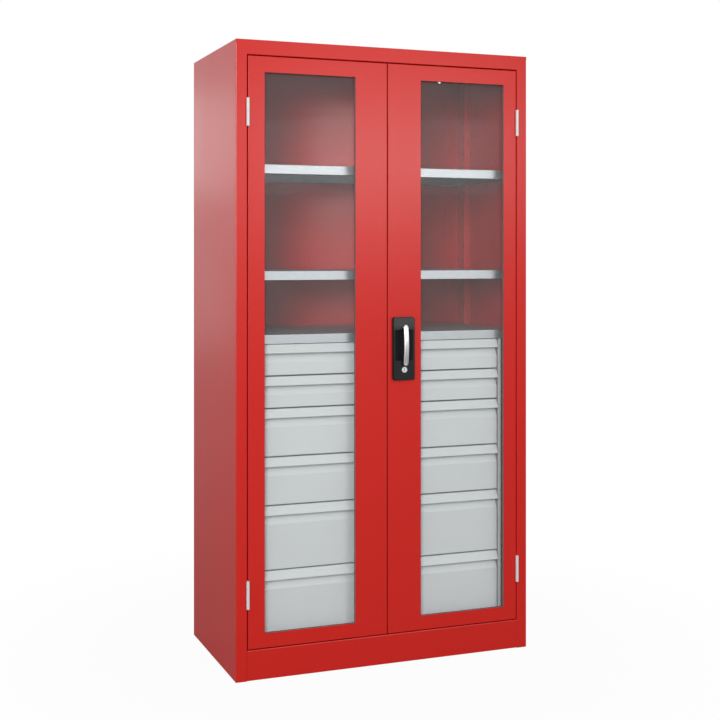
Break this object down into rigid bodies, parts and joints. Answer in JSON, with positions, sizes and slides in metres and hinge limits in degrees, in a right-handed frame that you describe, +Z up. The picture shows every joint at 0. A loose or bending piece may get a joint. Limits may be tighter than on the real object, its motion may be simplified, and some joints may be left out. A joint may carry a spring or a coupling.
{
  "type": "heavy-duty cabinet",
  "caption": "Tall steel cupboard with two glazed hinged doors, adjustable shelves above a block of wide drawers, and a lever lock with rods.",
  "frame": {"origin": "on the floor, under the middle of the object's box (the lever's reach in front counts)", "axes": "+X to the right seen from the front, +Y to the back, +Z up"},
  "size_m": [1, 0.534, 1.953],
  "materials": {
    "red_paint": "satin powder coat",
    "grey_paint": "satin powder coat",
    "galvanised_sheet": "galvanised",
    "dark_rubber": "matt",
    "clear_acrylic": "clear",
    "black_plastic": "fine grain",
    "satin_lever": "satin silver",
    "plated_steel": "bright zinc"
  },
  "bodies": {
    "carcass": {"side_panel_left": "red_paint", "side_panel_right": "red_paint", "back_panel": "red_paint", "roof_panel": "red_paint", "top_rail": "red_paint", "plinth_panel": "red_paint", "floor_panel": "red_paint", "corner_plates": "red_paint", "glides": "red_paint", "uprights_left": "red_paint", "uprights_right": "red_paint", "shelf_top": "galvanised_sheet", "shelf_middle": "galvanised_sheet", "shelf_lower": "galvanised_sheet", "shelf_clips": "galvanised_sheet", "runner_channels_left": "galvanised_sheet", "runner_channels_right": "galvanised_sheet", "drawer_frame_left": "grey_paint", "drawer_frame_right": "grey_paint", "door_buffers": "dark_rubber", "hinge_frame_halves": "plated_steel"},
    "left_door": {"left_door_panel": "red_paint", "left_door_glazing_frame": "dark_rubber", "left_door_pane": "clear_acrylic", "left_door_pane_retainer": "galvanised_sheet", "left_door_hinge_halves": "plated_steel"},
    "right_door": {"right_door_panel": "red_paint", "right_door_glazing_frame": "dark_rubber", "right_door_pane": "clear_acrylic", "right_door_pane_retainer": "galvanised_sheet", "right_door_hinge_halves": "plated_steel", "handle_plate": "black_plastic", "rod_guides": "black_plastic", "lock_case": "plated_steel", "lock_barrel": "plated_steel"},
    "handle": {"lever": "satin_lever", "spindle": "plated_steel", "rod_cam": "plated_steel"},
    "key_core": {"lock_core": "plated_steel"},
    "upper_rod": {"upper_rod": "plated_steel"},
    "lower_rod": {"lower_rod": "plated_steel"},
    "drawer_1": {"drawer_1_front": "grey_paint", "drawer_1_tray": "grey_paint", "drawer_1_rails": "galvanised_sheet"},
    "drawer_2": {"drawer_2_front": "grey_paint", "drawer_2_tray": "grey_paint", "drawer_2_rails": "galvanised_sheet"},
    "drawer_3": {"drawer_3_front": "grey_paint", "drawer_3_tray": "grey_paint", "drawer_3_rails": "galvanised_sheet"},
    "drawer_4": {"drawer_4_front": "grey_paint", "drawer_4_tray": "grey_paint", "drawer_4_rails": "galvanised_sheet"},
    "drawer_5": {"drawer_5_front": "grey_paint", "drawer_5_tray": "grey_paint", "drawer_5_rails": "galvanised_sheet"},
    "drawer_6": {"drawer_6_front": "grey_paint", "drawer_6_tray": "grey_paint", "drawer_6_rails": "galvanised_sheet"}
  },
  "joints": [
    {"name": "left_door_swing", "type": "hinge", "parent": "carcass", "child": "left_door", "pos_m": [-0.463, -0.2375, 1.003], "axis": [0, 0, -1], "range_deg": [0, 120]},
    {"name": "right_door_swing", "type": "hinge", "parent": "carcass", "child": "right_door", "pos_m": [0.463, -0.2375, 1.003], "axis": [0, 0, 1], "range_deg": [0, 120]},
    {"name": "lever_turn", "type": "hinge", "parent": "right_door", "child": "handle", "pos_m": [0.0525, -0.253, 1.069], "axis": [0, -1, 0], "range_deg": [0, 90]},
    {"name": "key_turn", "type": "hinge", "parent": "right_door", "child": "key_core", "pos_m": [0.0525, -0.247, 0.934], "axis": [0, -1, 0], "range_deg": [0, 90]},
    {"name": "upper_rod_slide", "type": "slide", "parent": "right_door", "child": "upper_rod", "axis": [0, 0, 1], "range_m": [0, 0.01415]},
    {"name": "lower_rod_slide", "type": "slide", "parent": "right_door", "child": "lower_rod", "axis": [0, 0, -1], "range_m": [0, 0.01415]},
    {"name": "drawer_1_slide", "type": "slide", "parent": "carcass", "child": "drawer_1", "axis": [0, -1, 0], "range_m": [0, 0.008]},
    {"name": "drawer_2_slide", "type": "slide", "parent": "carcass", "child": "drawer_2", "axis": [0, -1, 0], "range_m": [0, 0.008]},
    {"name": "drawer_3_slide", "type": "slide", "parent": "carcass", "child": "drawer_3", "axis": [0, -1, 0], "range_m": [0, 0.008]},
    {"name": "drawer_4_slide", "type": "slide", "parent": "carcass", "child": "drawer_4", "axis": [0, -1, 0], "range_m": [0, 0.008]},
    {"name": "drawer_5_slide", "type": "slide", "parent": "carcass", "child": "drawer_5", "axis": [0, -1, 0], "range_m": [0, 0.008]},
    {"name": "drawer_6_slide", "type": "slide", "parent": "carcass", "child": "drawer_6", "axis": [0, -1, 0], "range_m": [0, 0.008]}
  ],
  "couplings": [
    {"joint": "upper_rod_slide", "follows": "lever_turn", "m_per_rad": 0.009003},
    {"joint": "lower_rod_slide", "follows": "lever_turn", "m_per_rad": 0.009003}
  ]
}
